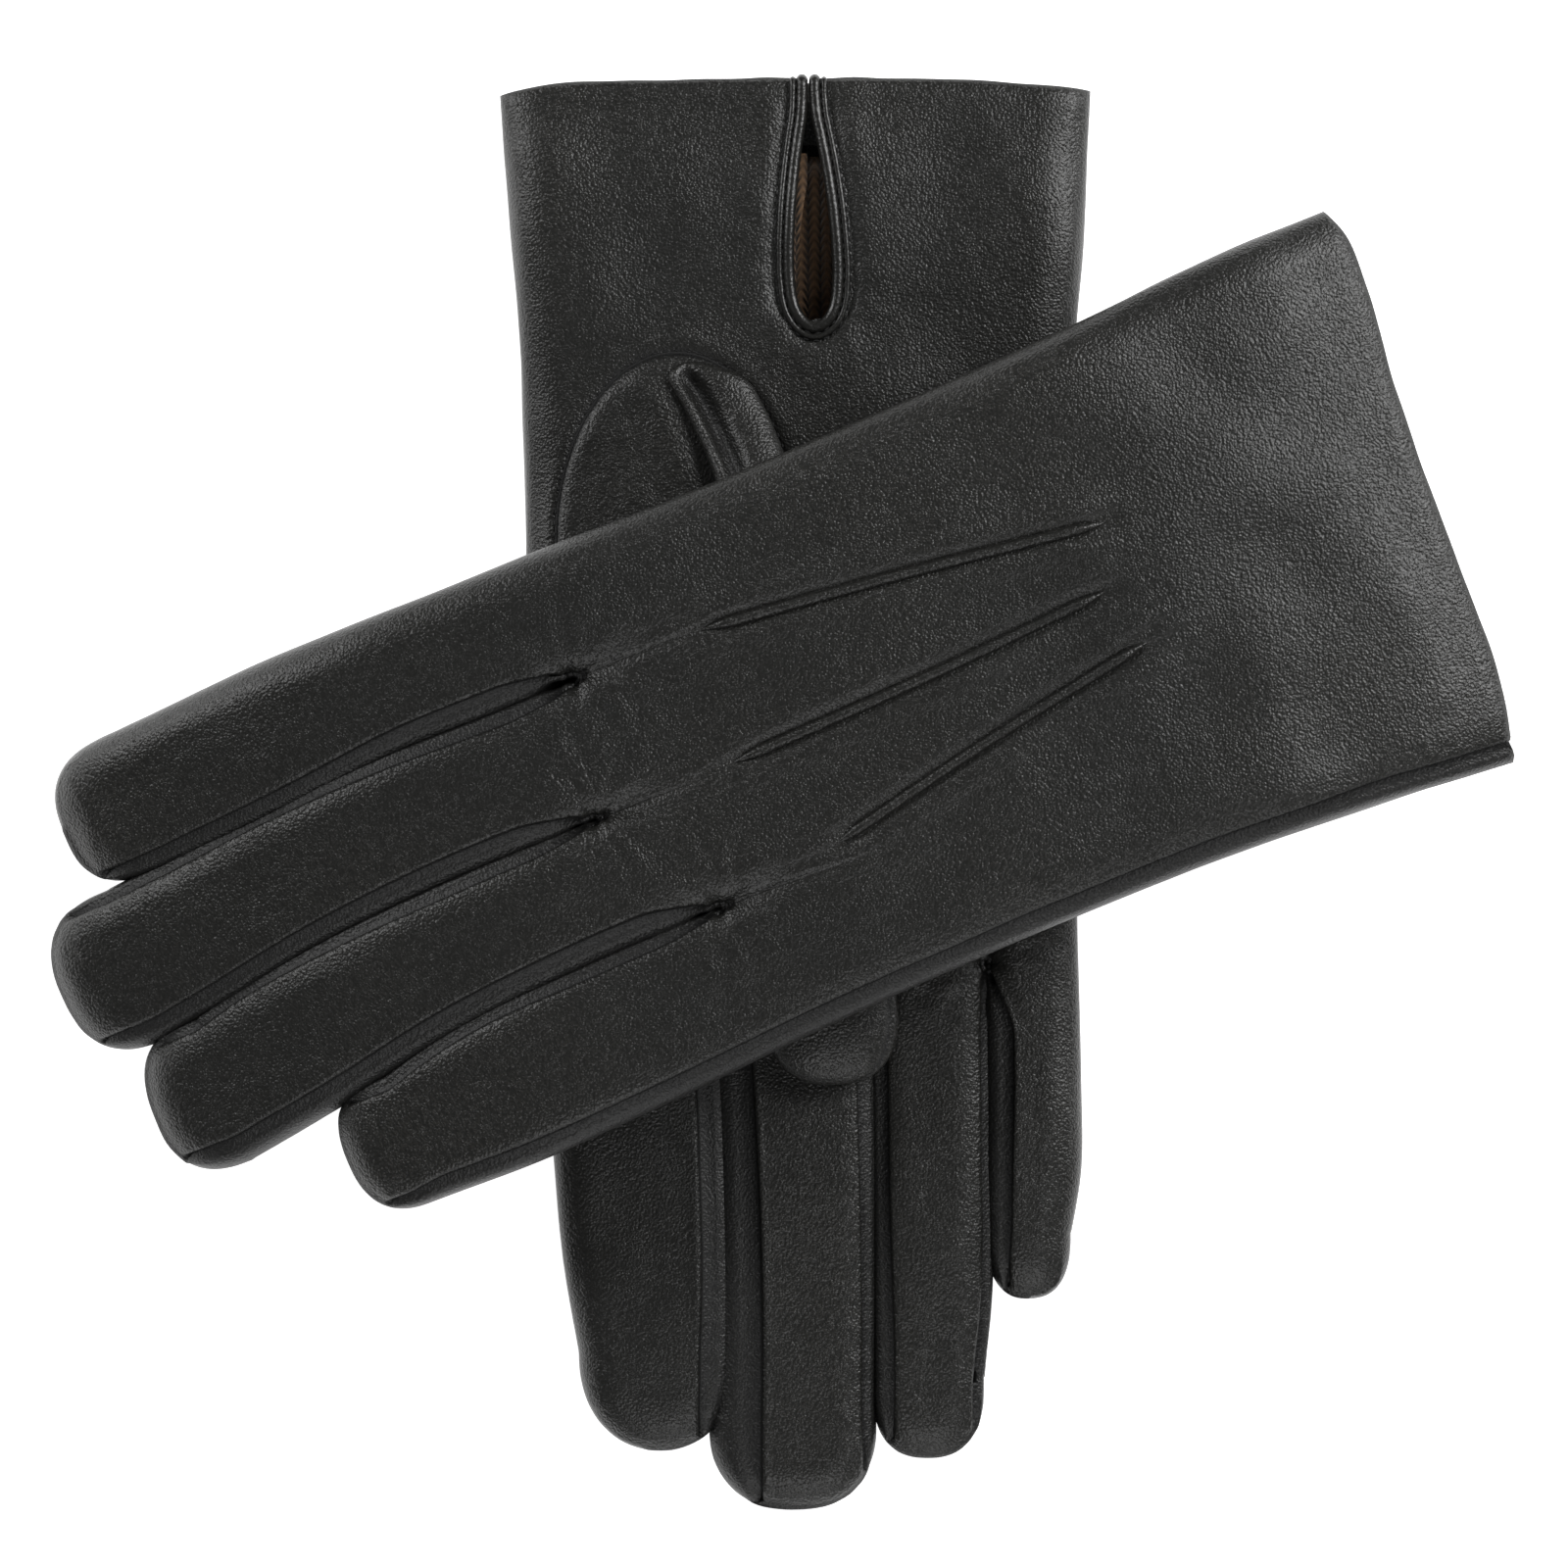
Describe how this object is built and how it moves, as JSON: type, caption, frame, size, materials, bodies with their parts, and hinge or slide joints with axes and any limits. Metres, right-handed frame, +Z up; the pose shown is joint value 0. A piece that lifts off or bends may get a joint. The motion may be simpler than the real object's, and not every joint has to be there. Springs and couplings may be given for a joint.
{
  "type": "pair of leather gloves",
  "caption": "Pair of lined leather dress gloves, one palm up and the other laid across it back up, each with a cuff vent, raised back points and a set-in thumb.",
  "frame": {"origin": "on the table, at the centre of the pair's footprint", "axes": "+Z up from the table, the right glove's fingers towards -Y"},
  "size_m": [0.2521, 0.245, 0.0406],
  "materials": {
    "black_leather": "smooth fine-grained hide, semi-matt",
    "binding_leather": "thinner rolled hide, slightly glossier",
    "brown_knit": "fine ribbed wool knit",
    "black_thread": "fine twisted sewing thread"
  },
  "bodies": {
    "right_glove": {"right_trank": "black_leather", "right_hand_lining": "brown_knit", "right_cuff_facing": "black_leather", "right_thumb_base": "black_leather", "right_vent_binding": "binding_leather", "right_vent_stitches": "black_thread", "right_back_points": "black_leather", "right_side_seam_thread": "black_thread", "right_thumb_seam_thread": "black_thread", "right_fourchette_index_middle": "black_leather", "right_fourchette_middle_ring": "black_leather", "right_fourchette_ring_little": "black_leather"},
    "right_thumb": {"right_thumb": "black_leather", "right_thumb_lining": "brown_knit"},
    "right_index": {"right_index_tip": "black_leather", "right_index_tip_fourchettes": "black_leather", "right_index_tip_lining": "brown_knit"},
    "right_middle": {"right_middle_tip": "black_leather", "right_middle_tip_fourchettes": "black_leather", "right_middle_tip_lining": "brown_knit"},
    "right_ring": {"right_ring_tip": "black_leather", "right_ring_tip_fourchettes": "black_leather", "right_ring_tip_lining": "brown_knit"},
    "right_little": {"right_little_tip": "black_leather", "right_little_tip_fourchettes": "black_leather", "right_little_tip_lining": "brown_knit"},
    "left_glove": {"left_trank": "black_leather", "left_hand_lining": "brown_knit", "left_cuff_facing": "black_leather", "left_thumb_base": "black_leather", "left_vent_binding": "binding_leather", "left_vent_stitches": "black_thread", "left_back_points": "black_leather", "left_side_seam_thread": "black_thread", "left_thumb_seam_thread": "black_thread", "left_fourchette_index_middle": "black_leather", "left_fourchette_middle_ring": "black_leather", "left_fourchette_ring_little": "black_leather"},
    "left_thumb": {"left_thumb": "black_leather", "left_thumb_lining": "brown_knit"},
    "left_index": {"left_index_tip": "black_leather", "left_index_tip_fourchettes": "black_leather", "left_index_tip_lining": "brown_knit"},
    "left_middle": {"left_middle_tip": "black_leather", "left_middle_tip_fourchettes": "black_leather", "left_middle_tip_lining": "brown_knit"},
    "left_ring": {"left_ring_tip": "black_leather", "left_ring_tip_fourchettes": "black_leather", "left_ring_tip_lining": "brown_knit"},
    "left_little": {"left_little_tip": "black_leather", "left_little_tip_fourchettes": "black_leather", "left_little_tip_lining": "brown_knit"}
  },
  "joints": [
    {"name": "right_thumb_swing", "type": "hinge", "parent": "right_glove", "child": "right_thumb", "pos_m": [-0.0225, 0.0445, 0.011], "axis": [0, 0, -1], "range_deg": [0, 45], "stiffness_Nm_per_rad": 0.02},
    {"name": "right_index_bend", "type": "hinge", "parent": "right_glove", "child": "right_index", "pos_m": [-0.02653, -0.0685, 0.011], "axis": [-0.999, -0.0438, 0], "range_deg": [0, 80], "stiffness_Nm_per_rad": 0.06},
    {"name": "right_middle_bend", "type": "hinge", "parent": "right_glove", "child": "right_middle", "pos_m": [0.00136, -0.0735, 0.011], "axis": [-0.9999, -0.013, 0], "range_deg": [0, 80], "stiffness_Nm_per_rad": 0.06},
    {"name": "right_ring_bend", "type": "hinge", "parent": "right_glove", "child": "right_ring", "pos_m": [0.02473, -0.0685, 0.011], "axis": [-1, -0.0038, 0], "range_deg": [0, 80], "stiffness_Nm_per_rad": 0.06},
    {"name": "right_little_bend", "type": "hinge", "parent": "right_glove", "child": "right_little", "pos_m": [0.04286, -0.0545, 0.011], "axis": [-0.9999, -0.014, 0], "range_deg": [0, 80], "stiffness_Nm_per_rad": 0.06},
    {"name": "left_glove_lift", "type": "slide", "parent": "right_glove", "child": "left_glove", "axis": [0, 0, 1], "range_m": [0, 0.14]},
    {"name": "left_thumb_swing", "type": "hinge", "parent": "left_glove", "child": "left_thumb", "pos_m": [0.02622, 0.04378, 0.0289], "axis": [0, 0, -1], "range_deg": [0, 45], "stiffness_Nm_per_rad": 0.02},
    {"name": "left_index_bend", "type": "hinge", "parent": "left_glove", "child": "left_index", "pos_m": [-0.08247, 0.0135, 0.0289], "axis": [0.387, -0.9221, 0], "range_deg": [-20, 45], "stiffness_Nm_per_rad": 0.06},
    {"name": "left_middle_bend", "type": "hinge", "parent": "left_glove", "child": "left_middle", "pos_m": [-0.07931, -0.01242, 0.0289], "axis": [0.4228, -0.9062, 0], "range_deg": [-20, 45], "stiffness_Nm_per_rad": 0.06},
    {"name": "left_ring_bend", "type": "hinge", "parent": "left_glove", "child": "left_ring", "pos_m": [-0.06388, -0.03138, 0.0289], "axis": [0.4464, -0.8948, 0], "range_deg": [-20, 45], "stiffness_Nm_per_rad": 0.06},
    {"name": "left_little_bend", "type": "hinge", "parent": "left_glove", "child": "left_little", "pos_m": [-0.04356, -0.04907, 0.0289], "axis": [0.4503, -0.8929, 0], "range_deg": [-20, 45], "stiffness_Nm_per_rad": 0.06}
  ]
}
